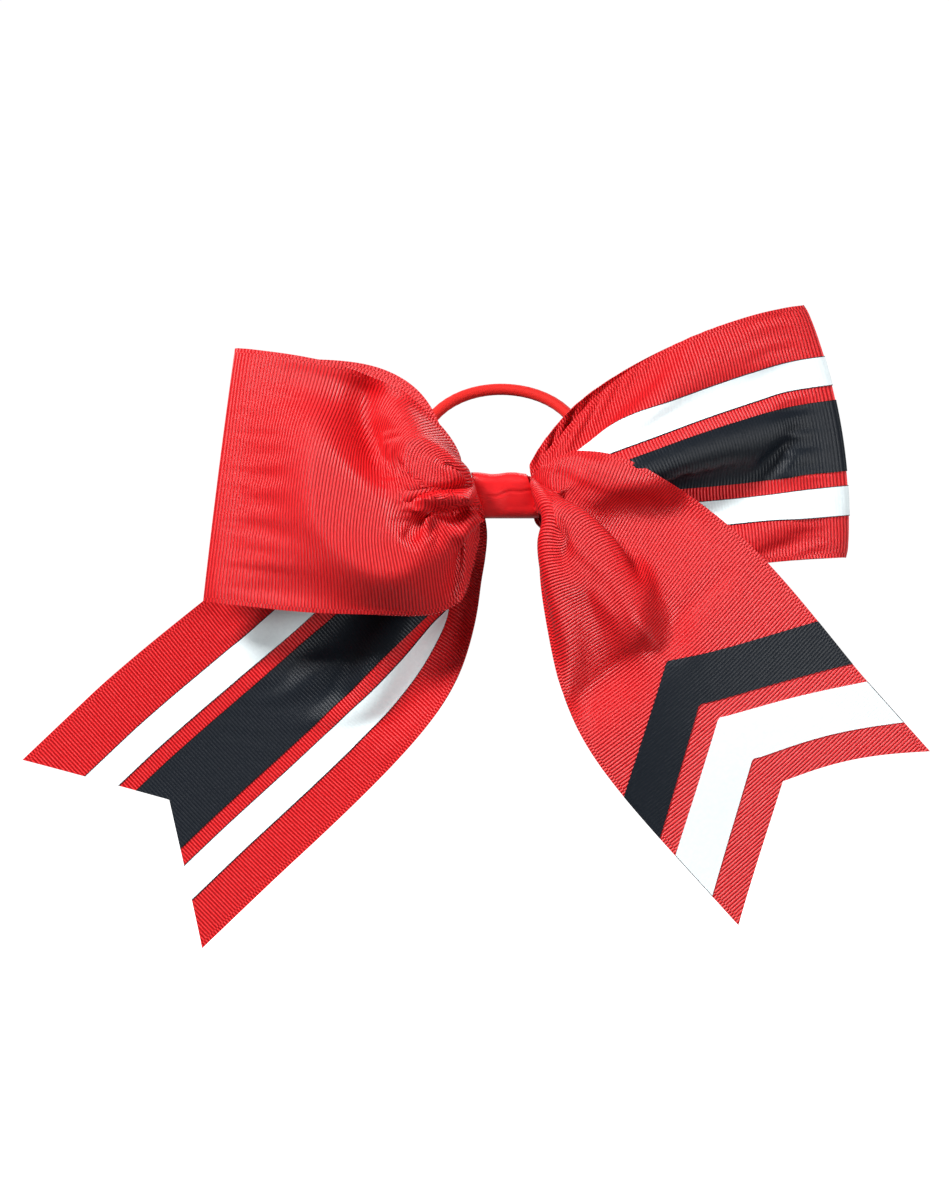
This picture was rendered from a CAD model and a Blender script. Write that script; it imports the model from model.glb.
import math

import bpy
import numpy as np
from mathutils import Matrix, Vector


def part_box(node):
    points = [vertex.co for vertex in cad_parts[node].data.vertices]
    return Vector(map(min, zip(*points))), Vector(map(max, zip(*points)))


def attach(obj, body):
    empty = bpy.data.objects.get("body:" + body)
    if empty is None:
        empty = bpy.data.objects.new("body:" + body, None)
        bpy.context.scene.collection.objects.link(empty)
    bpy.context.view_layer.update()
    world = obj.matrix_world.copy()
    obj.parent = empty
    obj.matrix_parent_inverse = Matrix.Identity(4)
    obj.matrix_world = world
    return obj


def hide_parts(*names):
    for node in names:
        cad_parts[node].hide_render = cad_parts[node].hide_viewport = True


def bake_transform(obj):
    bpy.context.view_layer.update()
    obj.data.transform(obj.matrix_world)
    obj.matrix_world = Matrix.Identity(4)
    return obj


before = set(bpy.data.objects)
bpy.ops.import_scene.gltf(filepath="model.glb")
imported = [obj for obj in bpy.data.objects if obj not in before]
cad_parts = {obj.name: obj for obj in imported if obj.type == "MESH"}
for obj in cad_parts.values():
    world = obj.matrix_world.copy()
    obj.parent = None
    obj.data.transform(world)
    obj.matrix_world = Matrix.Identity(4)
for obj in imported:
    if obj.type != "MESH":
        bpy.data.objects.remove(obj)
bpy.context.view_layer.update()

# Cheer hair bow: two pleated grosgrain ribbons with pressed films, a centre wrap and a hair elastic.
# Lengths in this script are millimetres until a mesh is made; MM turns them into metres.
MM = 0.001

RIBBON_WIDTH = 76.2
RIBBON_THICKNESS = 0.4
FILM_THICKNESS = 0.25
PLEAT_LEGS = 7
PLEAT_LEG = RIBBON_WIDTH / PLEAT_LEGS
PLEAT_STACK = 2.6
KNOT_HALF_HEIGHT = PLEAT_LEG / 2
RIB_PITCH = 0.94
SELVAGE = 1.3
WARP_PITCH = 0.32
FILM_RIM = 0.22
GRID_STEP = RIBBON_WIDTH / 40
FINE_STEP = RIBBON_WIDTH / 80
Y_AXIS = np.array([0.0, 1.0, 0.0])

WRAP_WIDTH, WRAP_THICKNESS = 15.9, 0.5
WRAP_LEAN = 0.305
WRAP_MIDDLE = 0.7
PLEATS_LEFT, PLEATS_RIGHT = -7.0, 8.0

SWALLOWTAIL = 23.5
STRIPES = {"white_near": (16.0, 25.0), "black": (29.4, 50.8), "white_far": (55.0, 64.0)}


# ---------------------------------------------------------------- reading the CAD ribbons

def unit(vector):
    vector = np.asarray(vector, float)
    return vector / np.linalg.norm(vector)


def smooth(x):
    x = np.clip(x, 0, 1)
    return x * x * (3 - 2 * x)


def mix(a, b, share):
    return a + (b - a) * share


class Track:
    """A CAD ribbon's edges and depth, read by cutting its mesh across its own direction."""

    def __init__(self, node, along, layers=1):
        self.along = unit((along[0], 0, along[1]))
        self.across = np.array([-self.along[2], 0, self.along[0]])
        if self.across[2] < 0:
            self.across = -self.across
        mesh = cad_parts[node].data
        points = np.array([v.co for v in mesh.vertices], float) / MM
        edges = np.array([e.vertices for e in mesh.edges], int)
        self.ends = np.stack([points[edges[:, 0]], points[edges[:, 1]]])
        self.reach = self.ends @ self.along
        self.end = self.reach.max()
        self.start = self.reach.min()
        if layers == 2:
            outermost = points[(points @ self.along) > self.end - 0.6]
            self.fold_y = outermost[:, 1].mean()
        self.layers = layers

    def cut(self, u, layer=0):
        """Top and bottom across the ribbon, and depth, at a distance u from the knot."""
        low, high = self.reach.min(0), self.reach.max(0)
        hit = (low <= u) & (high > u)
        a, b = self.ends[0][hit], self.ends[1][hit]
        share = (u - self.reach[0][hit]) / (self.reach[1][hit] - self.reach[0][hit])
        points = a + (b - a) * share[:, None]
        if self.layers == 2:
            front = points[:, 1] < self.fold_y
            points = points[front if layer == 0 else ~front]
        v = points @ self.across
        return v.max(), v.min(), points[:, 1].mean()

    def table(self, distances, layer=0):
        inside = np.clip(distances, self.start + 3.0, self.end - 0.5)
        return np.array([self.cut(u, layer) for u in inside])


# ---------------------------------------------------------------- cloth

def pair_slices(di, dj, phase):
    """Index pairs (a, b) of grid points di rows and dj columns apart, none used twice."""
    if di:
        rows_a, rows_b = slice(phase, -di, 2 * di), slice(phase + di, None, 2 * di)
        if dj > 0:
            return (rows_a, slice(None, -dj)), (rows_b, slice(dj, None))
        if dj < 0:
            return (rows_a, slice(-dj, None)), (rows_b, slice(None, dj))
        return (rows_a, slice(None)), (rows_b, slice(None))
    return (slice(None), slice(phase, -dj, 2 * dj)), (slice(None), slice(phase + dj, None, 2 * dj))


def cloth_links(rest_s, rest_t, bend):
    """Stretch, shear and bend links, each as index pairs with a rest length and a stiffness."""
    diagonal = math.hypot(rest_s, rest_t)
    kinds = [(1, 0, rest_s, 0.9), (0, 1, rest_t, 0.9), (1, 1, diagonal, 0.35), (1, -1, diagonal, 0.35)]
    for reach, share in bend:
        kinds += [(reach, 0, reach * rest_s, share), (0, reach, reach * rest_t, share)]
    links = []
    for di, dj, rest, stiffness in kinds:
        for phase in range(2 * max(di, 1) if di else 2 * dj):
            links.append((*pair_slices(di, dj, phase), rest, stiffness))
    return links


def line_distance(x, z, line):
    """Distance in the front view from points to a line of (x, z) points, negative on its right."""
    nearest = np.full(x.shape, 1e9)
    side = np.ones(x.shape)
    for (ax, az), (bx, bz) in zip(line, line[1:]):
        dx, dz = bx - ax, bz - az
        share = np.clip(((x - ax) * dx + (z - az) * dz) / (dx * dx + dz * dz), 0, 1)
        away = np.hypot(x - ax - dx * share, z - az - dz * share)
        closer = away < nearest
        side = np.where(closer, np.sign(dx * (z - az) - dz * (x - ax)), side)
        nearest = np.where(closer, away, nearest)
    return nearest * side


SHELF_CELL = 2.2
SHELF_LOW = np.array([-160.0, -150.0])
SHELF_SIZE = (140, 105)
CLEARANCE = 0.75

# Shares of a move that cloth keeps from turn to turn, and how often a press pushes it.
DRIFT = 0.9
PRESS_EVERY = 8

# The wrap's front that cloth slides off: half height, depth and a small gap at its edges.
WRAP_HALF_HEIGHT, WRAP_FRONT, WRAP_GAP = 9, -11, 0.3

# Depths that cloth keeps to: in front of the elastic's corners, whose space falls away further out
# from the knot, and behind the furthest that it may puff forward.
RING_FRONT, RING_REACH, RING_FALL = -6.4, 19, 1.3
FRONT_LIMIT = -31.7


def shelf_cells(points):
    cells = ((points[..., [0, 2]] - SHELF_LOW) / SHELF_CELL).astype(int)
    return np.clip(cells[..., 0], 1, SHELF_SIZE[0] - 2), np.clip(cells[..., 1], 1, SHELF_SIZE[1] - 2)


def shelf_of(points):
    """The foremost depth of some cloth over the front view, a little widened."""
    shelf = np.full(SHELF_SIZE, 1e3)
    i, j = shelf_cells(points)
    np.minimum.at(shelf, (i, j), points[..., 1])
    wide = shelf.copy()
    for di, dj in ((1, 0), (-1, 0), (0, 1), (0, -1)):
        wide = np.minimum(wide, np.roll(shelf, (di, dj), (0, 1)))
    return wide


def keep_before(x, rows, shelf, free):
    """Bring rows of cloth in front of a shelf, where they have gone behind it."""
    i, j = shelf_cells(x[rows])
    out = np.hypot(x[rows][..., 0], x[rows][..., 2])
    allowed = shelf[i, j] - CLEARANCE + 5.0 * (1 - smooth((out - 9) / 6))
    behind = x[rows][..., 1] - allowed
    x[rows, :, 1] -= 0.5 * np.clip(behind, 0, 4.0) * free[rows]


def keep_off_wrap(x, sign, free):
    """Slide cloth out sideways where it has come over the wrap's front or past its edges."""
    edge = WRAP_MIDDLE - WRAP_LEAN * x[..., 2] + sign * (WRAP_WIDTH / 2 + WRAP_GAP)
    beside = (np.abs(x[..., 2]) < WRAP_HALF_HEIGHT) * (x[..., 1] < WRAP_FRONT)
    over = np.clip((edge - x[..., 0]) * sign, 0, 3.0) * beside
    x[..., 0] += 0.6 * sign * over * free


def keep_in_depth(x, free):
    """Keep cloth clear of the space the elastic sweeps through, and from puffing too far forward."""
    out = np.hypot(x[..., 0], x[..., 2])
    over = x[..., 1] - (RING_FRONT + RING_FALL * np.clip(out - RING_REACH, 0, None))
    x[..., 1] -= 0.6 * np.clip(over, 0, 3.0) * free
    x[..., 1] += 0.6 * np.clip(FRONT_LIMIT - x[..., 1], 0, 4.0) * free


def tucked(shape, share, folded):
    """How much shorter the middle of a cloth is near the knot, where its smallest tucks aren't drawn."""
    out = np.linspace(0, 2 if folded else 1, shape[0])[:, None]
    near = 1 - smooth((out - 0.3) / 0.4)
    return 1 - share * near * np.sin(np.linspace(0, math.pi, shape[1])) ** 0.8


def settle(points, steps, held, goal, pull, rounds, bend, presses=(), backing=None, folded=False, tucks=0.0):
    """Relax a grid of cloth to its flat size by position-based dynamics.

    held marks fixed points; pull draws the rest towards goal, coordinate by coordinate. A press is
    (line, radius, push, first row, last row): it moves the cloth along Y beside a line. The cloth
    stays in front of backing, and a folded one's first half stays in front of its second. tucks is the
    share by which its middle is shortened near the knot."""
    x = points.copy()
    before = x.copy()
    mass = np.where(held, 0.0, 1.0)
    links = cloth_links(*steps, bend)
    short = tucked(held.shape, tucks, folded)
    for turn in range(rounds):
        drift = (x - before) * DRIFT
        before = x.copy()
        x += drift * mass[..., None]
        if turn % PRESS_EVERY == 0:
            shove = np.zeros(held.shape)
            for line, radius, push, first, last in presses:
                rows = slice(int(first * held.shape[0]), int(last * held.shape[0]))
                away = line_distance(x[rows, :, 0], x[rows, :, 2], line)
                shove[rows] += push * np.exp(-(away / radius) ** 2)
        x[..., 1] += shove * mass
        half = held.shape[0] // 2
        keep_off_wrap(x, np.sign(x[held.shape[0] // 3, 0, 0]), mass)
        keep_in_depth(x, mass)
        if folded:
            clear = slice(3, half - 4)
            keep_before(x, clear, shelf_of(x[half + 4:]), mass)
        if backing is not None:
            keep_before(x, slice(3, None), backing, mass)
        for a, b, rest, stiffness in links:
            rows = min(x[a].shape[0], x[b].shape[0])
            cols = min(x[a].shape[1], x[b].shape[1])
            pa, pb = x[a][:rows, :cols], x[b][:rows, :cols]
            wa, wb = mass[a][:rows, :cols], mass[b][:rows, :cols]
            delta = pb - pa
            length = np.sqrt((delta ** 2).sum(-1)) + 1e-9
            wanted = rest * short[a][:rows, :cols]
            share = stiffness * (length - wanted) / (length * np.maximum(wa + wb, 1e-9))
            move = delta * share[..., None]
            pa += move * wa[..., None]
            pb -= move * wb[..., None]
        x += (goal - x) * pull * mass[..., None]
    return x


def ease(grid, passes, first):
    """Smooth out short ripples beyond the first rows, leaving the edges where they are."""
    for _ in range(passes):
        soft = grid.copy()
        soft[1:-1] = (grid[:-2] + 2 * grid[1:-1] + grid[2:]) / 4
        soft[:, 1:-1] = (soft[:, :-2] + 2 * soft[:, 1:-1] + soft[:, 2:]) / 4
        grid[first:-1] = soft[first:-1]
    return grid


def refine(grid):
    """The same cloth on a grid twice as fine."""
    for axis in (0, 1):
        grid = catmull(grid, axis, np.linspace(0, grid.shape[axis] - 1, 2 * grid.shape[axis] - 1))
    return grid


# ---------------------------------------------------------------- pleats and first shapes

def pleat(across):
    """An accordion section at the knot: height and depth for each place across the ribbon."""
    legs = across / PLEAT_LEG
    k = np.minimum(legs.astype(int), PLEAT_LEGS - 1)
    part = legs - k
    wave = np.where(k % 2 == 0, 1 - 2 * part, 2 * part - 1)
    return KNOT_HALF_HEIGHT * wave, PLEAT_STACK * (0.5 - across / RIBBON_WIDTH)


def opening(top, bottom, opened, fold_side):
    """Fold lines of a partly opened accordion: (v, n) at each of the PLEAT_LEGS + 1 folds."""
    knot_v, knot_n = pleat(np.arange(PLEAT_LEGS + 1) * PLEAT_LEG * 0.999999)
    far_v = mix(top, bottom, np.arange(PLEAT_LEGS + 1) / PLEAT_LEGS)
    v = mix(knot_v, far_v, opened)
    n = knot_n * (1 - opened)
    depth = 0.0
    for k in range(1, PLEAT_LEGS + 1):
        if k % 2 == 0:
            swing = math.sqrt(max(PLEAT_LEG ** 2 - (v[k] - v[k - 1]) ** 2, 0))
            sign = fold_side if (k // 2) % 2 else -fold_side
            depth += sign * swing * (1 - opened)
        n[k] += depth
    return v, n


def fan_row(track_row, u, opened, fold_side, across, along, side_axis):
    """One row of ribbon points across its width at distance u along it."""
    top, bottom, y = track_row
    v, n = opening(top, bottom, opened, fold_side)
    places = across / PLEAT_LEG
    row_v = np.interp(places, np.arange(PLEAT_LEGS + 1), v)
    row_n = np.interp(places, np.arange(PLEAT_LEGS + 1), n)
    return along * u + side_axis * row_v[:, None] + Y_AXIS * (y + row_n)[:, None]


# ---------------------------------------------------------------- meshes

def catmull(grid, axis, where):
    """Values of a grid between its points along one axis, on a Catmull-Rom curve."""
    count = grid.shape[axis]
    where = np.clip(where, 0, count - 1 - 1e-9)
    i = where.astype(int)
    f = where - i
    moved = np.moveaxis(grid, axis, 0)
    p = [moved[np.clip(i + k, 0, count - 1)] for k in (-1, 0, 1, 2)]
    f = f.reshape((-1,) + (1,) * (moved.ndim - 1))
    value = 0.5 * (2 * p[1] + (p[2] - p[0]) * f + (2 * p[0] - 5 * p[1] + 4 * p[2] - p[3]) * f ** 2
                   + (3 * p[1] - p[0] - 3 * p[2] + p[3]) * f ** 3)
    return np.moveaxis(value, 0, axis)


class Cloth:
    """A settled grid of ribbon that can be sampled at any (s, t) in millimetres of flat ribbon."""

    def __init__(self, grid, step_s, step_t):
        fine_s = np.linspace(0, grid.shape[0] - 1, (grid.shape[0] - 1) * 3 + 1)
        fine_t = np.linspace(0, grid.shape[1] - 1, (grid.shape[1] - 1) * 3 + 1)
        self.grid = catmull(catmull(grid, 0, fine_s), 1, fine_t)
        self.step_s, self.step_t = step_s / 3, step_t / 3
        self.turn_normals()

    def crease(self, folds, last):
        """Deepen folds, each a line with a depth and its widths to the left and right of it."""
        rows = self.grid[:int(last * self.grid.shape[0])]
        moved = np.zeros(rows.shape[:2])
        for line, depth, left, right in folds:
            away = line_distance(rows[..., 0], rows[..., 2], line)
            moved += depth * np.exp(-(away / np.where(away > 0, left, right)) ** 2)
        rows[..., 1] += moved
        self.turn_normals()

    def turn_normals(self):
        d_s = np.gradient(self.grid, axis=0)
        d_t = np.gradient(self.grid, axis=1)
        normal = np.cross(d_s, d_t)
        self.normal = normal / (np.linalg.norm(normal, axis=-1, keepdims=True) + 1e-12)

    def at(self, s, t, lift=0.0):
        a = np.clip(s / self.step_s, 0, self.grid.shape[0] - 1.000001)
        b = np.clip(t / self.step_t, 0, self.grid.shape[1] - 1.000001)
        i, j = a.astype(int), b.astype(int)
        f, g = (a - i)[..., None], (b - j)[..., None]

        def blend_of(values):
            return ((values[i, j] * (1 - f) + values[i + 1, j] * f) * (1 - g)
                    + (values[i, j + 1] * (1 - f) + values[i + 1, j + 1] * f) * g)
        return blend_of(self.grid) + blend_of(self.normal) * lift


def new_piece(name, mesh, material):
    mesh.materials.append(material)
    piece = bpy.data.objects.new(name, mesh)
    bpy.context.scene.collection.objects.link(piece)
    return piece


def set_flat(mesh, corners):
    """Store flat distances along and across each face corner, in tenths of a metre, as UVs."""
    layer = mesh.uv_layers.new(name="flat")
    layer.data.foreach_set("uv", corners.astype(np.float32).ravel())


def strip_mesh(name, cloth, s_map, t_range, s_count, t_count, near, far, material):
    """A closed thin sheet over part of a cloth; s_map(share, t) gives s, so its ends may be cut."""
    share = np.linspace(0, 1, s_count + 1)[:, None]
    t = np.linspace(t_range[0], t_range[1], t_count + 1)[None, :] + 0 * share
    s = s_map(share, t) + 0 * t
    rows, cols = s_count + 1, t_count + 1
    vertices = np.concatenate([cloth.at(s, t, far).reshape(-1, 3), cloth.at(s, t, near).reshape(-1, 3)])
    ids = np.arange(rows * cols).reshape(rows, cols)
    a, b, c, d = ids[:-1, :-1], ids[1:, :-1], ids[1:, 1:], ids[:-1, 1:]
    outer = np.stack([a, b, c, d], -1).reshape(-1, 4)
    inner = np.stack([a, d, c, b], -1).reshape(-1, 4) + rows * cols
    loop_ids = np.concatenate([ids[0, :], ids[1:, -1], ids[-1, -2::-1], ids[-2:0:-1, 0]])
    following = np.roll(loop_ids, -1)
    rim = np.stack([loop_ids, following, following + rows * cols, loop_ids + rows * cols], -1)
    faces = np.concatenate([outer, inner, rim])
    mesh = bpy.data.meshes.new(name)
    mesh.from_pydata((vertices * MM).tolist(), [], faces.tolist())
    flat = np.stack([s.reshape(-1), t.reshape(-1)], -1)
    flat = np.concatenate([flat, flat]) / 100
    corner = np.empty(len(mesh.loops), int)
    mesh.loops.foreach_get("vertex_index", corner)
    set_flat(mesh, flat[corner])
    for label, distance in (("edge", np.minimum(t - t_range[0], t_range[1] - t)),
                            ("selvage", np.minimum(t, RIBBON_WIDTH - t))):
        attribute = mesh.attributes.new(label, "FLOAT", "POINT")
        attribute.data.foreach_set("value", np.tile(distance.reshape(-1), 2).astype(np.float32))
    mesh.polygons.foreach_set("use_smooth", np.ones(len(faces), bool))
    mesh.update()
    mesh.validate()
    mesh.set_sharp_from_angle(angle=math.radians(60))
    return new_piece(name, mesh, material)


# ---------------------------------------------------------------- materials

def new_material(name):
    material = bpy.data.materials.new(name)
    material.use_nodes = True
    tree = material.node_tree
    return material, tree.nodes, tree.links, tree.nodes["Principled BSDF"]


def math_node(nodes, links, operation, *inputs):
    node = nodes.new("ShaderNodeMath")
    node.operation = operation
    for slot_index, value in enumerate(inputs):
        if isinstance(value, (int, float)):
            node.inputs[slot_index].default_value = value
        else:
            links.new(value, node.inputs[slot_index])
    return node.outputs[0]


def colour_mix(nodes, links, factor, low, high):
    node = nodes.new("ShaderNodeMix")
    node.data_type = "RGBA"
    links.new(factor, node.inputs["Factor"])
    for socket, value in (("A", low), ("B", high)):
        target = [i for i in node.inputs if i.name == socket and i.type == "RGBA"][0]
        if isinstance(value, tuple):
            target.default_value = (*value, 1)
        else:
            links.new(value, target)
    return [o for o in node.outputs if o.type == "RGBA"][0]


def flat_coordinates(nodes, links):
    """Distance along and across the flat ribbon, in millimetres."""
    uv = nodes.new("ShaderNodeUVMap")
    uv.uv_map = "flat"
    split = nodes.new("ShaderNodeSeparateXYZ")
    links.new(uv.outputs[0], split.inputs[0])
    return [math_node(nodes, links, "MULTIPLY", split.outputs[i], 100.0) for i in (0, 1)]


def mottle(nodes, links, scale, detail=2.0):
    """Soft noise that is fixed to the piece."""
    noise = nodes.new("ShaderNodeTexNoise")
    noise.inputs["Scale"].default_value = scale
    noise.inputs["Detail"].default_value = detail
    place = nodes.new("ShaderNodeTexCoord")
    links.new(place.outputs["Object"], noise.inputs["Vector"])
    return noise.outputs["Fac"]


def rounded(nodes, links, turn):
    """Round ridges from 0 to 1, one for each half turn."""
    return math_node(nodes, links, "ABSOLUTE", math_node(nodes, links, "SINE", turn))


def ridges(nodes, links, distance, pitch):
    return rounded(nodes, links, math_node(nodes, links, "MULTIPLY", distance, math.pi / pitch))


def stored(nodes, label):
    """A distance that the mesh holds at its points."""
    node = nodes.new("ShaderNodeAttribute")
    node.attribute_name = label
    return node.outputs["Fac"]


def add_bump(nodes, links, shader, height, strength, distance):
    bump = nodes.new("ShaderNodeBump")
    bump.inputs["Strength"].default_value = strength
    bump.inputs["Distance"].default_value = distance * MM
    links.new(height, bump.inputs["Height"])
    links.new(bump.outputs[0], shader.inputs["Normal"])


def rib_wave(nodes, links, along):
    """The cross ribs of grosgrain, 0 in a groove and 1 on a rib, half a rib out of step in the selvage."""
    noise = mottle(nodes, links, 900.0)
    wobble = math_node(nodes, links, "MULTIPLY", noise, 0.12)
    selvage = math_node(nodes, links, "LESS_THAN", stored(nodes, "selvage"), SELVAGE)
    wobble = math_node(nodes, links, "MULTIPLY_ADD", selvage, RIB_PITCH / 2, wobble)
    return ridges(nodes, links, math_node(nodes, links, "ADD", along, wobble), RIB_PITCH), noise


def grosgrain(name, groove, rib, roughness):
    """Ribbed ribbon: darker in the grooves, with fine warp threads over the ribs."""
    material, nodes, links, shader = new_material(name)
    along, across = flat_coordinates(nodes, links)
    wave, noise = rib_wave(nodes, links, along)
    threads = ridges(nodes, links, across, WARP_PITCH)
    crest = math_node(nodes, links, "POWER", wave, 2.4)
    fleck = math_node(nodes, links, "MULTIPLY_ADD", noise, 0.4, -0.25)
    tone = math_node(nodes, links, "ADD", crest, fleck)
    woven = math_node(nodes, links, "MULTIPLY_ADD", threads, 0.22, tone)
    links.new(colour_mix(nodes, links, woven, groove, rib), shader.inputs["Base Color"])
    add_bump(nodes, links, shader, math_node(nodes, links, "MULTIPLY_ADD", threads, 0.1, wave), 1.0, 0.3)
    shader.inputs["Roughness"].default_value = roughness
    shader.inputs["Specular IOR Level"].default_value = 0.5
    return material


def film(name, colour, rim_colour, roughness, weave):
    """A pressed film: the ribs show through it, and its cut edge is a fine dark line."""
    material, nodes, links, shader = new_material(name)
    along, across = flat_coordinates(nodes, links)
    wave, noise = rib_wave(nodes, links, along)
    threads = ridges(nodes, links, across, WARP_PITCH)
    inside = math_node(nodes, links, "GREATER_THAN", stored(nodes, "edge"), FILM_RIM)
    shade = math_node(nodes, links, "MULTIPLY_ADD", noise, 0.5, 0.25)
    light = tuple(min(1.0, c * 1.12 + 0.004) for c in colour)
    dark = tuple(c * 0.86 for c in colour)
    body = colour_mix(nodes, links, shade, dark, light)
    links.new(colour_mix(nodes, links, inside, rim_colour, body), shader.inputs["Base Color"])
    height = math_node(nodes, links, "MULTIPLY_ADD", threads, 0.35, wave)
    add_bump(nodes, links, shader, height, weave, 0.12)
    shader.inputs["Roughness"].default_value = roughness
    shader.inputs["Specular IOR Level"].default_value = 0.22
    return material


RED_GROSGRAIN = grosgrain("red_grosgrain", (0.44, 0.0, 0.003), (0.80, 0.010, 0.014), 0.42)
WHITE_FILM = film("white_film", (0.80, 0.885, 0.93), (0.02, 0.02, 0.03), 0.45, 0.18)
BLACK_FILM = film("black_film", (0.004, 0.007, 0.012), (0.003, 0.003, 0.004), 0.38, 0.6)


# ---------------------------------------------------------------- ribbons

def across_places(cols):
    return np.linspace(0, RIBBON_WIDTH, cols)


def resampled(line, count, length=None):
    """Points evenly spaced along a line, counted back from its far end if a length is given."""
    line = np.asarray(line, float)
    far = np.concatenate([[0], np.cumsum(np.linalg.norm(np.diff(line, axis=0), axis=1))])
    where = np.linspace(0, far[-1], count)
    if length is not None:
        where = far[-1] - np.linspace(length, 0, count)
        slack = where < far[-1] * 0.3
        where[slack] = np.linspace(0, where[~slack][0], slack.sum() + 1)[:-1]
    return np.stack([np.interp(where, far, line[:, i]) for i in range(line.shape[1])], -1)


def edge_line(track, layer, side, knot_x, knot_y, swells):
    """One edge of a CAD ribbon from the knot outwards, as points in space; swells puff it out there."""
    u = np.linspace(track.start + 1.2, track.end - (0.6 if track.layers == 2 else 0.0), 60)
    table = track.table(u, layer)
    if track.layers == 1:
        shift = SWALLOWTAIL * 1.3
        flat = u > track.end - shift
        table[flat, :2] = track.cut(track.end - shift)[:2]
    v = table[:, 0] if side == 0 else table[:, 1]
    points = track.along * u[:, None] + track.across * v[:, None] + Y_AXIS * table[:, 2:3]
    for puffed, (middle, reach), (dx, dz) in swells:
        if puffed == side:
            near = np.exp(-((np.hypot(points[:, 0], points[:, 2]) - middle) / reach) ** 2)
            points = points + near[:, None] * np.array([dx, 0.0, dz])
    knot = np.array([[knot_x, knot_y, KNOT_HALF_HEIGHT if side == 0 else -KNOT_HALF_HEIGHT]])
    return np.concatenate([knot, points])


def layer_rows(track, layer, rows, length, knot_x, fold_side, open_over, bulge, swells):
    """A first shape for one layer: fanned pleats between the ribbon's two edges."""
    across = across_places(COLUMNS)
    u_start = track.start + 2.0
    u = np.linspace(u_start, track.end - 0.3, rows)
    table = track.table(u, layer)
    knot_y = table[0][2]
    tail = track.layers == 1
    edges = [edge_line(track, layer, side, knot_x, knot_y, swells) for side in (0, 1)]
    sides = [resampled(edge, rows, length if tail else None) for edge in edges]
    opened = smooth((np.linspace(0, length, rows) - 4) / open_over)
    grid = np.zeros((rows, COLUMNS, 3))
    share = across / RIBBON_WIDTH
    for i in range(rows):
        row = fan_row(table[i], u[i], opened[i], fold_side, across, track.along, track.across)
        row = row + (sides[0][i] - row[0]) * ((1 - share) ** 1.5)[:, None]
        row = row + (sides[1][i] - row[-1]) * (share ** 1.5)[:, None]
        grid[i] = row
    along_share = np.linspace(0, 1, rows)[:, None]
    grid[..., 1] += bulge * np.sin(math.pi * along_share) * np.sin(math.pi * share)
    return grid, knot_y


def knot_rows(grid, held, order, knot_x, sign, step, knot_y):
    """Hold the first rows of a layer as the accordion that the wrap squeezes."""
    v, n = pleat(np.minimum(across_places(grid.shape[1]), RIBBON_WIDTH * 0.999999))
    for k, i in enumerate(order):
        x = knot_x + sign * k * step * 0.95
        grid[i] = np.stack([np.full(grid.shape[1], x), knot_y + n, v], -1)
        held[i] = True


def edge_pull(pull, first, last, strength):
    """Draw both edges of some rows towards their goal in the front view."""
    for j, share in ((0, 1.0), (1, 0.6), (-1, 1.0), (-2, 0.6)):
        for axis, part in ((0, 1.0), (1, 0.3), (2, 1.0)):
            pull[first:last, j, axis] = np.maximum(pull[first:last, j, axis], strength * share * part)


def loop_cloth(node, along, length, knot_x, fold_sides, open_over, bulges, fold_bow, swells=(), presses=()):
    """A loop's cloth: out from the knot in front, round the outer fold and back behind."""
    track = Track(node, along, layers=2)
    half = int(round(length / GRID_STEP))
    step = length / half
    sign = np.sign(track.along[0])
    (front, front_y), (back, back_y) = (
        layer_rows(track, layer, half + 1, length, knot_x, fold_sides[layer], open_over, bulges[layer],
                   swells)
        for layer in (0, 1))
    grid = np.concatenate([front[:-1], back[::-1]])
    rows = len(grid)
    fold_top, fold_bottom, _ = track.cut(track.end - 0.8, 0)
    share = across_places(COLUMNS) / RIBBON_WIDTH
    fold_v = mix(fold_top, fold_bottom, share)
    bow = np.sin(math.pi * across_places(COLUMNS) / RIBBON_WIDTH)[:, None] ** 0.7
    grid[half] = (track.along * (track.end + fold_bow[0] * bow) + Y_AXIS * (track.fold_y + fold_bow[1] * bow)
                  + track.across * fold_v[:, None])
    held = np.zeros((rows, COLUMNS), bool)
    knot_rows(grid, held, (0, 1, 2), knot_x, sign, step, front_y)
    knot_rows(grid, held, (rows - 1, rows - 2, rows - 3), knot_x, sign, step, back_y)
    held[half] = True
    pull = np.zeros((rows, COLUMNS, 3))
    reach = np.abs(np.arange(rows) - half) / half
    pull[...] = (0.03 * smooth((0.2 - reach) / 0.2))[:, None, None]
    edge_pull(pull, 0, rows, 0.12)
    return grid, step, held, pull, presses


def tail_cloth(node, along, length, knot_x, fold_side, open_over, bulge, swells=(), presses=()):
    """A tail's cloth from the knot to the square end that the swallowtail is later cut from."""
    track = Track(node, along)
    rows = int(round(length / GRID_STEP)) + 1
    step = length / (rows - 1)
    sign = np.sign(track.along[0])
    grid, knot_y = layer_rows(track, 0, rows, length, knot_x, fold_side, open_over, bulge, swells)
    held = np.zeros((rows, COLUMNS), bool)
    knot_rows(grid, held, (0, 1, 2), knot_x, sign, step, knot_y)
    pull = np.zeros((rows, COLUMNS, 3))
    out = np.linspace(0, 1, rows)
    pull[...] = (0.02 * smooth((out - 0.45) / 0.2) + 0.15 * smooth((out - 0.68) / 0.15))[:, None, None]
    edge_pull(pull, 0, rows, 0.12)
    return grid, step, held, pull, presses


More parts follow.
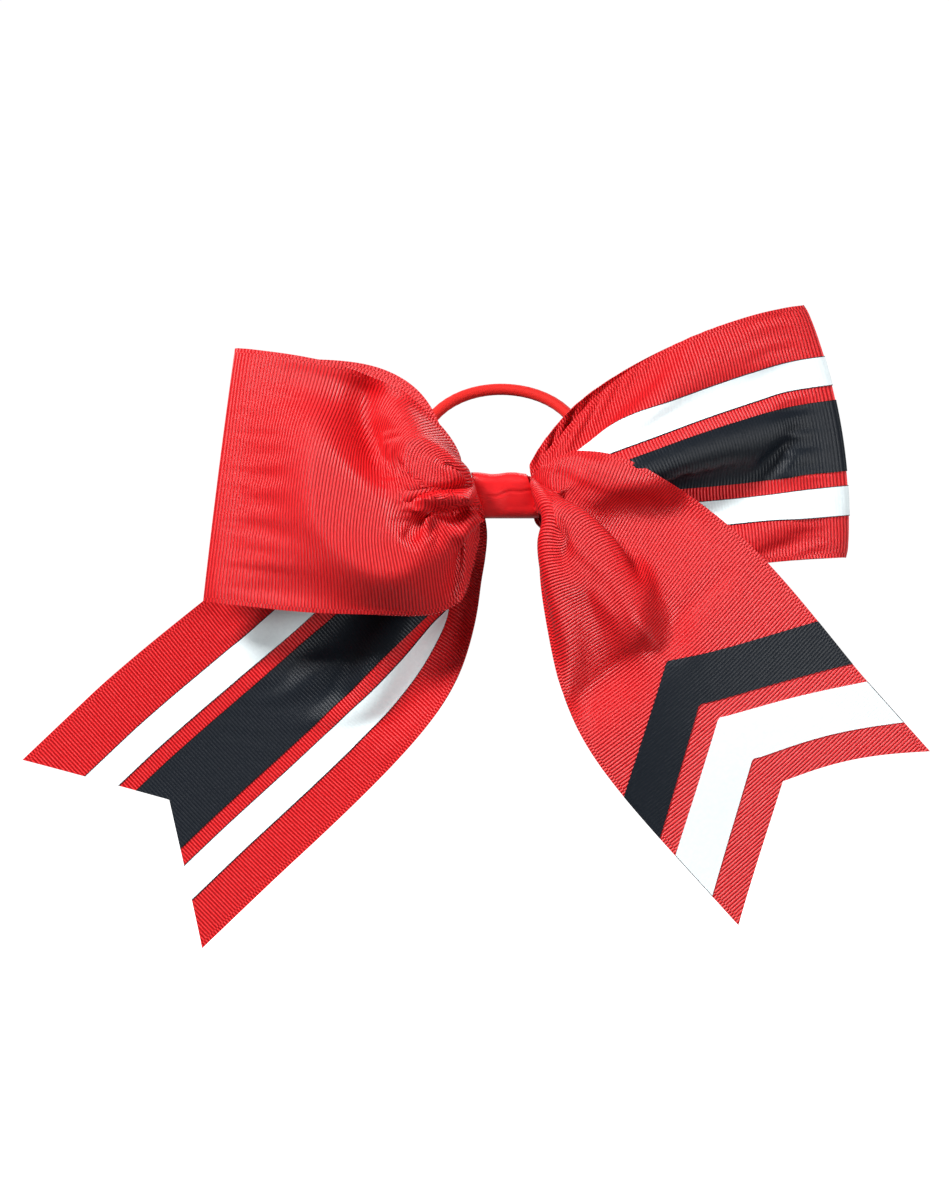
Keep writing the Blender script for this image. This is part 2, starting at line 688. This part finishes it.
def make_cloth(parts, backing=None, folded=False, tucks=0.0):
    """Settle a ribbon on a coarse grid, then again on one twice as fine."""
    grid, step, held, pull, presses = parts
    rough = settle(grid, (step, GRID_STEP), held, grid, pull, ROUNDS,
                   ((2, BEND), (4, BEND / 3)), presses, backing, folded, tucks)
    fine = refine(rough)
    fine_pull = np.clip(refine(pull), 0, 1)
    fine_held = refine(held.astype(float)[..., None])[..., 0] > 0.999
    fine_goal = np.where(fine_held[..., None], fine, refine(grid))
    settled = settle(fine, (step / 2, GRID_STEP / 2), fine_held, fine_goal, fine_pull, ROUNDS // 3,
                     ((2, BEND), (4, BEND / 2), (8, BEND / 6)), presses, backing, folded, tucks)
    return Cloth(ease(settled, 0 if folded else 6, len(settled) // 8), step / 2, GRID_STEP / 2)


ROUNDS = 450
BEND = 0.3
COLUMNS = 41
LEFT_LOOP_ALONG = (-0.992, 0.125)
RIGHT_LOOP_ALONG = (0.986, 0.165)
LEFT_TAIL_ALONG = (-0.724, -0.690)
RIGHT_TAIL_ALONG = (0.672, -0.740)
LEFT_LOOP_LENGTH, RIGHT_LOOP_LENGTH = 99.0, 102.0
LEFT_TAIL_LENGTH, RIGHT_TAIL_LENGTH = 165.0, 157.0
LEFT_START, RIGHT_START = -4.0, 5.0

# Lines in the front view (x, z) along which the cloth is pressed in (+) or drawn out (-).
LEFT_LOOP_PRESSES = [
    ([(-39, 30), (-39.5, 21), (-36, 12), (-30, 2.5), (-25, -4.2)], 3.6, 0.12, 0.0, 0.5),
    ([(-52, 20), (-47, 2), (-40, -14), (-26, -24)], 8.0, -0.03, 0.0, 0.5),
    ([(-30, 24), (-22, 13), (-16, 7)], 4.5, -0.06, 0.0, 0.5),
    ([(-26, -1.0), (-18, 1.3), (-11, 2.4)], 1.6, 0.10, 0.0, 0.3),
    ([(-21, -1.4), (-15, -1.0), (-10, -1.2)], 1.8, -0.12, 0.0, 0.3),
    ([(-18, -5.0), (-10, -5.0)], 2.2, 0.10, 0.0, 0.3)]
LEFT_LOOP_FOLDS = [
    ([(-39, 30), (-39.5, 21), (-36, 12), (-30, 2.5), (-25.5, -4.0)], 1.6, 2.4, 5.0),
    ([(-27, -1.1), (-21, 0.7), (-15, 1.6), (-10, 2.4)], 2.2, 1.0, 0.8),
    ([(-23, -1.8), (-18.5, -1.0), (-9.6, -1.2)], -2.0, 1.5, 1.5),
    ([(-20, -4.8), (-14, -5.2), (-10.5, -4.6)], 2.4, 1.2, 1.7),
    ([(-23.4, -4.8), (-18, -7.8), (-12, -11.5)], -1.5, 1.4, 2.6),
    ([(-9.5, -6), (-10.8, -18), (-11.8, -30)], -1.0, 0.9, 1.4),
    ([(-13.0, -14), (-14.5, -28)], 1.1, 1.4, 1.8)]
LEFT_TAIL_PRESSES = [
    ([(-5.0, -9), (-5.5, -18), (-7.0, -30), (-12, -40)], 4.0, 0.14, 0.0, 0.45)]
RIGHT_TAIL_PRESSES = [
    ([(17, 3.0), (28, 0.5), (40, -2.3), (52, -3.0)], 3.4, 0.05, 0.0, 0.6),
    ([(16, 9.5), (22, 9.7), (30, 8.0), (42, 3.0)], 3.6, -0.04, 0.0, 0.6),
    ([(15, -7), (20, -14), (27, -21.5), (34, -29), (40, -41)], 4.5, -0.035, 0.0, 0.7),
    ([(46, -41), (34, -53), (22, -61)], 6.0, 0.025, 0.2, 0.9)]

RIGHT_TAIL_FOLDS = [
    ([(10.5, 3.5), (14.3, -4.8), (19.8, -13.9), (31, -24.3), (38.3, -36.8), (42.5, -41.5)], -0.95, 3.4, 2.0),
    ([(16, 6), (22, 2.5), (29, 0.0), (42, -1.0)], 0.6, 1.2, 3.0),
    ([(11.0, 7.6), (18, 11.0), (26, 9.6)], -0.8, 1.2, 2.0),
    ([(14, -14), (21, -26), (30, -37)], 0.45, 1.8, 3.2),
    ([(22, -59.3), (32.8, -49.2), (44.5, -42.6)], 0.85, 3.0, 3.8),
    ([(45.5, -41), (50.7, -35.2), (62, -24)], 0.7, 3.0, 3.4)]

# Puffs of an edge near the knot: edge (0 upper, 1 lower), distance out and reach, shift in (x, z).
LEFT_TAIL_SWELLS = [(1, (11.0, 8.0), (4.4, -1.0))]
RIGHT_LOOP_SWELLS = [(0, (13.0, 8.0), (-3.2, 1.6))]

left_tail = make_cloth(tail_cloth("left_tail_ribbon", LEFT_TAIL_ALONG, LEFT_TAIL_LENGTH, LEFT_START,
                                  1, 36, 2, LEFT_TAIL_SWELLS, LEFT_TAIL_PRESSES))
left_loop = make_cloth(loop_cloth("left_loop_ribbon", LEFT_LOOP_ALONG, LEFT_LOOP_LENGTH, LEFT_START,
                                  (-1, 1), 26, (-8, 3), (0.0, -3.5), (), LEFT_LOOP_PRESSES),
                       shelf_of(left_tail.grid), True, 0.08)
right_loop = make_cloth(loop_cloth("right_loop_ribbon", RIGHT_LOOP_ALONG, RIGHT_LOOP_LENGTH, RIGHT_START,
                                   (-1, 1), 28, (-3, 5), (4.6, -1.0), RIGHT_LOOP_SWELLS), None, True)
right_tail = make_cloth(tail_cloth("right_tail_ribbon", RIGHT_TAIL_ALONG, RIGHT_TAIL_LENGTH, RIGHT_START,
                                   -1, 36, -4, (), RIGHT_TAIL_PRESSES),
                        shelf_of(right_loop.grid), False, 0.14)
left_loop.crease(LEFT_LOOP_FOLDS, 0.45)
right_tail.crease(RIGHT_TAIL_FOLDS, 1.0)

HALF = RIBBON_THICKNESS / 2
FILM_SINK = 0.08
CHEVRON = 15.9
# Films across the right tail: distances back from its tips, and how far their point is off the middle.
CHEVRONS = {"white": ((11.4, 11.4 + CHEVRON), 2.3), "black": ((34.1, 34.1 + CHEVRON), 4.3)}
CUT_CURVE = 2.4


def tip(t, off_middle=0.0):
    """How far the swallowtail is cut back at a place across the ribbon."""
    point = RIBBON_WIDTH / 2 + off_middle
    return SWALLOWTAIL * np.where(t < point, t / point, (RIBBON_WIDTH - t) / (RIBBON_WIDTH - point))


def upper_curve(t):
    """The slight inward curve of the right tail's upper cut."""
    return CUT_CURVE * np.sin(math.pi * np.clip(2 * t / RIBBON_WIDTH, 0, 1))


def full_length(length, start=0.0):
    return lambda share, t: start + share * (length - start)


def swallow(length, start=0.0, curve=0.0):
    return lambda share, t: start + share * (length - tip(t) - curve * upper_curve(t) - start)


def chevron_map(length, back, off_middle):
    def place(share, t):
        behind = mix(back[1], back[0], share)
        return length - tip(t, off_middle) - behind - upper_curve(t) * np.clip(1 - behind / 45, 0, 1)
    return place


def count(length):
    return max(2, int(round(length / FINE_STEP)))


def flex(piece):
    """Cloth that stays with the knot at the wrap's edge and turns with its body further out."""
    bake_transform(piece)


def ribbon(name, cloth, s_map, length, body):
    piece = strip_mesh(name, cloth, s_map, (0, RIBBON_WIDTH), count(length), 80, -HALF, HALF, RED_GROSGRAIN)
    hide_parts(body + "_ribbon")
    flex(piece)
    return piece


def film_on(name, cloth, s_map, t_range, length, front, material, replaced):
    """A film sheet pressed on the ribbon's face; front is the side of the cloth, 1 or -1."""
    near, far = sorted((front * (HALF - FILM_SINK), front * (HALF + FILM_THICKNESS)))
    columns = count(t_range[1] - t_range[0])
    piece = strip_mesh(name, cloth, s_map, t_range, count(length), columns, near, far, material)
    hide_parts(replaced)
    flex(piece)
    return piece


ribbons = {
    "left_loop": ribbon("left_loop_cloth", left_loop, full_length(2 * LEFT_LOOP_LENGTH),
                        2 * LEFT_LOOP_LENGTH, "left_loop"),
    "right_loop": ribbon("right_loop_cloth", right_loop, full_length(2 * RIGHT_LOOP_LENGTH),
                         2 * RIGHT_LOOP_LENGTH, "right_loop"),
    "left_tail": ribbon("left_tail_cloth", left_tail, swallow(LEFT_TAIL_LENGTH),
                        LEFT_TAIL_LENGTH, "left_tail"),
    "right_tail": ribbon("right_tail_cloth", right_tail, swallow(RIGHT_TAIL_LENGTH, curve=1.0),
                         RIGHT_TAIL_LENGTH, "right_tail")}

FILM_START = 9.0
films = {"left_loop": [], "left_tail": [], "right_loop": [], "right_tail": []}
for stripe, tail_node, loop_node in (("white_near", "white_stripe_outer", "white_stripe_upper"),
                                     ("black", "black_stripe", "black_stripe"),
                                     ("white_far", "white_stripe_inner", "white_stripe_lower")):
    material = BLACK_FILM if stripe == "black" else WHITE_FILM
    films["left_tail"].append(film_on(
        "left_tail_" + tail_node + "_film", left_tail, swallow(LEFT_TAIL_LENGTH, FILM_START), STRIPES[stripe],
        LEFT_TAIL_LENGTH, 1, material, "left_tail_" + tail_node))
    films["right_loop"].append(film_on(
        "right_loop_" + loop_node + "_film", right_loop,
        full_length(2 * RIGHT_LOOP_LENGTH - FILM_START, FILM_START), STRIPES[stripe],
        2 * RIGHT_LOOP_LENGTH, -1, material, "right_loop_" + loop_node))
for colour, (back, off_middle) in CHEVRONS.items():
    films["right_tail"].append(film_on(
        "right_tail_" + colour + "_chevron_film", right_tail,
        chevron_map(RIGHT_TAIL_LENGTH, back, off_middle), (0, RIBBON_WIDTH), CHEVRON, -1,
        BLACK_FILM if colour == "black" else WHITE_FILM, "right_tail_" + colour + "_chevron"))


# ---------------------------------------------------------------- knot


def rounded_path(corners, radii):
    """Points along straight runs joined by arcs, about 0.4 mm apart, in (y, z)."""
    corners = [np.array(c, float) for c in corners]
    out = [corners[0]]
    for before, at, after, radius in zip(corners, corners[1:], corners[2:], radii):
        a, b = unit(before - at), unit(after - at)
        half_angle = math.acos(np.clip(a @ b, -1, 1)) / 2
        reach = radius / math.tan(half_angle)
        centre = at + unit(a + b) * radius / math.sin(half_angle)
        first, last = at + a * reach, at + b * reach
        out.append(first)
        for k in range(1, 9):
            middle = mix(first, last, k / 9) - centre
            out.append(centre + unit(middle) * radius)
        out.append(last)
    out.append(corners[-1])
    out = np.array(out)
    far = np.concatenate([[0], np.cumsum(np.linalg.norm(np.diff(out, axis=0), axis=1))])
    samples = np.linspace(0, far[-1], int(far[-1] / 0.4) + 1)
    return np.stack([np.interp(samples, far, out[:, i]) for i in (0, 1)], -1), far[-1]


def wrap_cloth():
    """The wrap's strip: up the back, round the knot, and over its own start."""
    low, high = [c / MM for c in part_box("centre_wrap")]
    half = WRAP_THICKNESS / 2
    front, flap, top = low.y + half - 1.3, high.y - half, high.z - half
    inner = flap - WRAP_THICKNESS - 0.15
    path, length = rounded_path([(inner, top - 1.6), (inner, -top), (front, -top), (front, top),
                                 (flap, top), (flap, -3.6)], [1.5, 2.5, 2.5, 1.2])
    columns = 33
    t = np.linspace(0, WRAP_WIDTH, columns)
    y, z = path[:, 0][:, None] + 0 * t, path[:, 1][:, None] + 0 * t
    x = WRAP_MIDDLE - WRAP_LEAN * z + t - WRAP_WIDTH / 2
    on_front = smooth((-8 - y) / 4)
    crease = -0.9 + 2.2 * smooth((x + 8) / 14) + 0.25 * np.sin(x * 0.9)
    over = z - crease
    sink = 0.45 * np.exp(-(over / 0.35) ** 2) + 0.2 * smooth(-over / 0.5)
    under = 0.24 * np.clip(-over, 0, 4.5)
    roll = 0.2 * np.sin(z * 1.1 + 0.4 + x * 0.06) + 0.15 * np.sin(x * 0.55 + 0.8)
    edge = np.minimum(t, WRAP_WIDTH - t)
    y = y + on_front * (sink + under + 0.4 * roll + 0.3 * np.exp(-edge / 0.9))
    in_layer = np.linspace(0, length, len(path))
    last = smooth((in_layer - (length - 14)) / 6)[:, None]
    x = x + 0.9 * last
    z = z + (0.35 * last + 0.25 * np.sin(x * 0.6) * smooth((z - 4) / 2)) * (z > 4)
    return Cloth(np.stack([x, y, z], -1), length / (len(path) - 1), WRAP_WIDTH / (columns - 1)), length


def pleat_cloth(y, left, right):
    """A tight accordion of ribbon running through the knot."""
    columns = 8 * PLEAT_LEGS + 1
    across = across_places(columns)
    v, n = pleat(np.minimum(across, RIBBON_WIDTH * 0.999999))
    v = v * (1 - 0.02 * np.cos(across * 2))
    x = np.linspace(left, right, 25)[:, None] + 0 * across
    grid = np.stack([x, y + n + 0 * x, v + 0 * x], -1)
    return Cloth(grid, (right - left) / 24, RIBBON_WIDTH / (columns - 1))


def pleats(name, node, left, right):
    """The two layers of one ribbon that pass through the knot, as pleated strips."""
    low, high = [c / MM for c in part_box(node)]
    width = right - left
    made = []
    for part, share in (("front", 0.25), ("back", 0.75)):
        cloth = pleat_cloth(mix(low.y, high.y, share), left, right)
        made.append(strip_mesh(name + "_" + part, cloth, full_length(width), (0, RIBBON_WIDTH),
                               count(width), 56, -HALF * 0.8, HALF * 0.8, RED_GROSGRAIN))
    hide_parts(node)
    for piece in made:
        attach(piece, "knot")


def satin(name, dark, light):
    """Smooth ribbon with fine threads across it and a soft sheen."""
    material, nodes, links, shader = new_material(name)
    along, across = flat_coordinates(nodes, links)
    weft = ridges(nodes, links, along, 0.28)
    warp = ridges(nodes, links, across, 0.22)
    shade = math_node(nodes, links, "MULTIPLY", mottle(nodes, links, 260.0, 4.0), 0.9)
    tone = math_node(nodes, links, "MULTIPLY_ADD", weft, 0.25, shade)
    links.new(colour_mix(nodes, links, tone, dark, light), shader.inputs["Base Color"])
    add_bump(nodes, links, shader, math_node(nodes, links, "MULTIPLY_ADD", warp, 0.4, weft), 0.35, 0.06)
    shader.inputs["Roughness"].default_value = 0.34
    shader.inputs["Specular IOR Level"].default_value = 0.4
    shader.inputs["Sheen Weight"].default_value = 0.08
    shader.inputs["Sheen Roughness"].default_value = 0.3
    return material


WRAP_SATIN = satin("wrap_satin", (0.50, 0.001, 0.006), (0.82, 0.012, 0.014))

wrap, wrap_length = wrap_cloth()
wrap_piece = strip_mesh("centre_wrap_cloth", wrap, full_length(wrap_length), (0, WRAP_WIDTH),
                        int(wrap_length / 0.4), 40, -WRAP_THICKNESS / 2, WRAP_THICKNESS / 2, WRAP_SATIN)
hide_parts("centre_wrap")
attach(wrap_piece, "knot")
for kind in ("solid_ribbon", "striped_ribbon"):
    pleats(kind + "_pleats", kind + "_gather", PLEATS_LEFT, PLEATS_RIGHT)


# ---------------------------------------------------------------- hair elastic

CORD_RADIUS = 1.7
RING_RADIUS, RING_CENTRE, RING_CORNER, RING_LEAN = 24.0, 20.0, 6.0, 41.0
RING_Y = -4.05
BRAID_STEP = 0.9


def ring_path():
    """The closed D of the elastic in its own plane: a straight run, two corners and a big arc."""
    corner_x = math.sqrt((RING_RADIUS - RING_CORNER) ** 2 - (RING_CENTRE - RING_CORNER) ** 2)
    meet = math.asin((RING_CENTRE - RING_CORNER) / (RING_RADIUS - RING_CORNER))

    def corner(side, angle):
        return side * corner_x + RING_CORNER * math.cos(angle), RING_CORNER + RING_CORNER * math.sin(angle)

    points = [(x, 0.0) for x in np.linspace(-corner_x, corner_x, 30)]
    points += [corner(1, angle) for angle in np.linspace(-math.pi / 2, -meet, 12)[1:]]
    points += [(RING_RADIUS * math.cos(angle), RING_CENTRE + RING_RADIUS * math.sin(angle))
               for angle in np.linspace(-meet, math.pi + meet, 150)[1:]]
    points += [corner(-1, angle) for angle in np.linspace(math.pi + meet, 1.5 * math.pi, 12)[1:-1]]
    return np.array(points)


def braided_cord(material):
    """A tube along the ring, with two crossing spirals of soft strands raised on it."""
    flat = ring_path()
    closed = np.concatenate([flat, flat[:1]])
    far = np.concatenate([[0], np.cumsum(np.linalg.norm(np.diff(closed, axis=0), axis=1))])
    count_along, count_round = 760, 40
    s = np.linspace(0, far[-1], count_along, endpoint=False)
    px, pw = np.interp(s, far, closed[:, 0]), np.interp(s, far, closed[:, 1])
    tangent = np.stack([np.roll(px, -2) - np.roll(px, 2), np.roll(pw, -2) - np.roll(pw, 2)], -1)
    tangent /= np.linalg.norm(tangent, axis=1, keepdims=True)
    normal = np.stack([tangent[:, 1], -tangent[:, 0]], -1)
    round_angle = np.linspace(0, 2 * math.pi, count_round, endpoint=False)
    strands = 10
    twist = s[:, None] / BRAID_STEP
    turn = strands / 2 * round_angle
    lift = 0.05 * (np.abs(np.sin(turn + twist)) * np.abs(np.sin(turn - twist)))
    slow = 0.03 * np.sin(s[:, None] * 0.21) * np.sin(round_angle + 0.7)
    radius = CORD_RADIUS + lift + slow
    lean = math.radians(RING_LEAN)
    in_plane = radius * np.cos(round_angle)
    off_plane = radius * np.sin(round_angle)
    x = px[:, None] + normal[:, 0:1] * in_plane
    w = pw[:, None] + normal[:, 1:2] * in_plane
    y = RING_Y + w * math.sin(lean) - off_plane * math.cos(lean)
    z = w * math.cos(lean) + off_plane * math.sin(lean)
    ids = np.arange(count_along * count_round).reshape(count_along, count_round)
    a, b = ids, np.roll(ids, -1, 0)
    c, d = np.roll(b, -1, 1), np.roll(a, -1, 1)
    faces = np.stack([a, b, c, d], -1).reshape(-1, 4)
    mesh = bpy.data.meshes.new("hair_elastic_cord")
    mesh.from_pydata((np.stack([x, y, z], -1).reshape(-1, 3) * MM).tolist(), [], faces.tolist())
    s_corner = np.stack([s, s + s[1], s + s[1], s], -1)
    r_step = 2 * math.pi / count_round
    r_corner = np.stack([round_angle, round_angle, round_angle + r_step, round_angle + r_step], -1)
    u = np.broadcast_to(s_corner[:, None, :], (count_along, count_round, 4)).reshape(-1)
    v = np.broadcast_to(r_corner[None, :, :], (count_along, count_round, 4)).reshape(-1) * CORD_RADIUS
    set_flat(mesh, np.stack([u, v], -1) / 100)
    mesh.polygons.foreach_set("use_smooth", np.ones(len(faces), bool))
    mesh.update()
    return new_piece("hair_elastic_cord", mesh, material)


def braid(name, dark, light):
    """Two families of strands that cross round the cord, with fine fuzz."""
    material, nodes, links, shader = new_material(name)
    along, across = flat_coordinates(nodes, links)
    strands = []
    for way in (1, -1):
        lean = math_node(nodes, links, "MULTIPLY", across, way * 2.6)
        turn = math_node(nodes, links, "MULTIPLY_ADD", along, math.pi / 0.62, lean)
        strands.append(rounded(nodes, links, turn))
    weave = math_node(nodes, links, "MULTIPLY", *strands)
    fuzz = mottle(nodes, links, 1500.0)
    tone = math_node(nodes, links, "MULTIPLY_ADD", fuzz, 0.6,
                     math_node(nodes, links, "MULTIPLY_ADD", weave, 0.7, -0.1))
    links.new(colour_mix(nodes, links, tone, dark, light), shader.inputs["Base Color"])
    add_bump(nodes, links, shader, math_node(nodes, links, "MULTIPLY_ADD", fuzz, 0.4, weave), 0.6, 0.1)
    shader.inputs["Roughness"].default_value = 0.7
    shader.inputs["Sheen Weight"].default_value = 0.08
    shader.inputs["Specular IOR Level"].default_value = 0.3
    return material


def moulded(name, dark, light, roughness, grain, transmission=0.0):
    """Plastic or glue with slight mottling and a faintly uneven surface."""
    material, nodes, links, shader = new_material(name)
    noise = mottle(nodes, links, grain, 5.0)
    links.new(colour_mix(nodes, links, noise, dark, light), shader.inputs["Base Color"])
    add_bump(nodes, links, shader, noise, 0.25, 0.1)
    shader.inputs["Roughness"].default_value = roughness
    shader.inputs["Transmission Weight"].default_value = transmission
    return material


def finish_node(node, material):
    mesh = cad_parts[node].data
    mesh.materials.clear()
    mesh.materials.append(material)


elastic_piece = braided_cord(braid("elastic_braid", (0.50, 0.003, 0.002), (0.84, 0.016, 0.008)))
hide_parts("hair_elastic")
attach(elastic_piece, "elastic")
finish_node("elastic_joint", moulded("elastic_sleeve", (0.42, 0.004, 0.006), (0.62, 0.01, 0.012), 0.5, 700.0))
finish_node("zip_tie", moulded("nylon", (0.72, 0.71, 0.68), (0.84, 0.83, 0.80), 0.42, 420.0))
for glue_node in ("wrap_glue_seam", "knot_glue_dab"):
    finish_node(glue_node, moulded(glue_node + "_glue", (0.78, 0.74, 0.62), (0.90, 0.87, 0.78), 0.3,
                                   300.0, 0.3))


# ---------------------------------------------------------------- stage, light and camera

def area_light(name, place, target, size, power):
    light = bpy.data.lights.new(name, "AREA")
    light.shape = "RECTANGLE"
    light.size, light.size_y = size
    light.energy = power
    lamp = bpy.data.objects.new(name, light)
    lamp.location = place
    lamp.rotation_euler = (Vector(target) - Vector(place)).to_track_quat("-Z", "Y").to_euler()
    bpy.context.scene.collection.objects.link(lamp)


def make_stage():
    """A wide, flat, pale floor, lit from above and a little from within so that it stays near white."""
    floor_z, reach = -0.20, 6.0
    mesh = bpy.data.meshes.new("floor")
    mesh.from_pydata([(-reach, -reach, floor_z), (reach, -reach, floor_z), (reach, reach, floor_z),
                      (-reach, reach, floor_z)], [], [(0, 1, 2, 3)])
    material, nodes, links, shader = new_material("floor")
    shader.inputs["Base Color"].default_value = (0.93, 0.93, 0.93, 1)
    shader.inputs["Roughness"].default_value = 0.9
    shader.inputs["Emission Color"].default_value = (1, 1, 1, 1)
    shader.inputs["Emission Strength"].default_value = 0.95
    mesh.materials.append(material)
    floor = bpy.data.objects.new("floor", mesh)
    floor.visible_diffuse = floor.visible_glossy = False
    bpy.context.scene.collection.objects.link(floor)


def make_world():
    """Soft grey surroundings that the camera sees as a white studio."""
    world = bpy.data.worlds.new("studio")
    world.use_nodes = True
    nodes, links = world.node_tree.nodes, world.node_tree.links
    path = nodes.new("ShaderNodeLightPath")
    seen = math_node(nodes, links, "MULTIPLY_ADD", path.outputs["Is Camera Ray"], 0.80, 0.22)
    links.new(seen, nodes["Background"].inputs[1])
    nodes["Background"].inputs[0].default_value = (1, 1, 1, 1)
    bpy.context.scene.world = world


def make_camera():
    """A long lens square on to the bow's front, with the bow a little above the picture's middle."""
    lens, sensor, height = 100.0, 36.0, 348.4
    centre_x, centre_z, plane_y = -8.0, -30.3, -12.0
    data = bpy.data.cameras.new("camera")
    data.lens = lens
    data.sensor_fit = "VERTICAL"
    data.sensor_height = sensor
    camera = bpy.data.objects.new("camera", data)
    distance = height * lens / sensor
    camera.location = (centre_x * MM, (plane_y - distance) * MM, centre_z * MM)
    camera.rotation_euler = (math.pi / 2, 0, 0)
    bpy.context.scene.collection.objects.link(camera)
    bpy.context.scene.camera = camera


bpy.context.scene.view_settings.view_transform = "Standard"
make_stage()
make_world()
make_camera()
area_light("key", (-0.7, -0.8, 0.75), (0, 0, -0.03), (0.3, 0.3), 25.0)
area_light("fill", (0.9, -0.9, -0.2), (0, 0, -0.03), (0.7, 0.9), 17.0)
area_light("rim", (0.3, 0.8, 0.8), (0, 0, 0), (0.9, 0.4), 5.0)
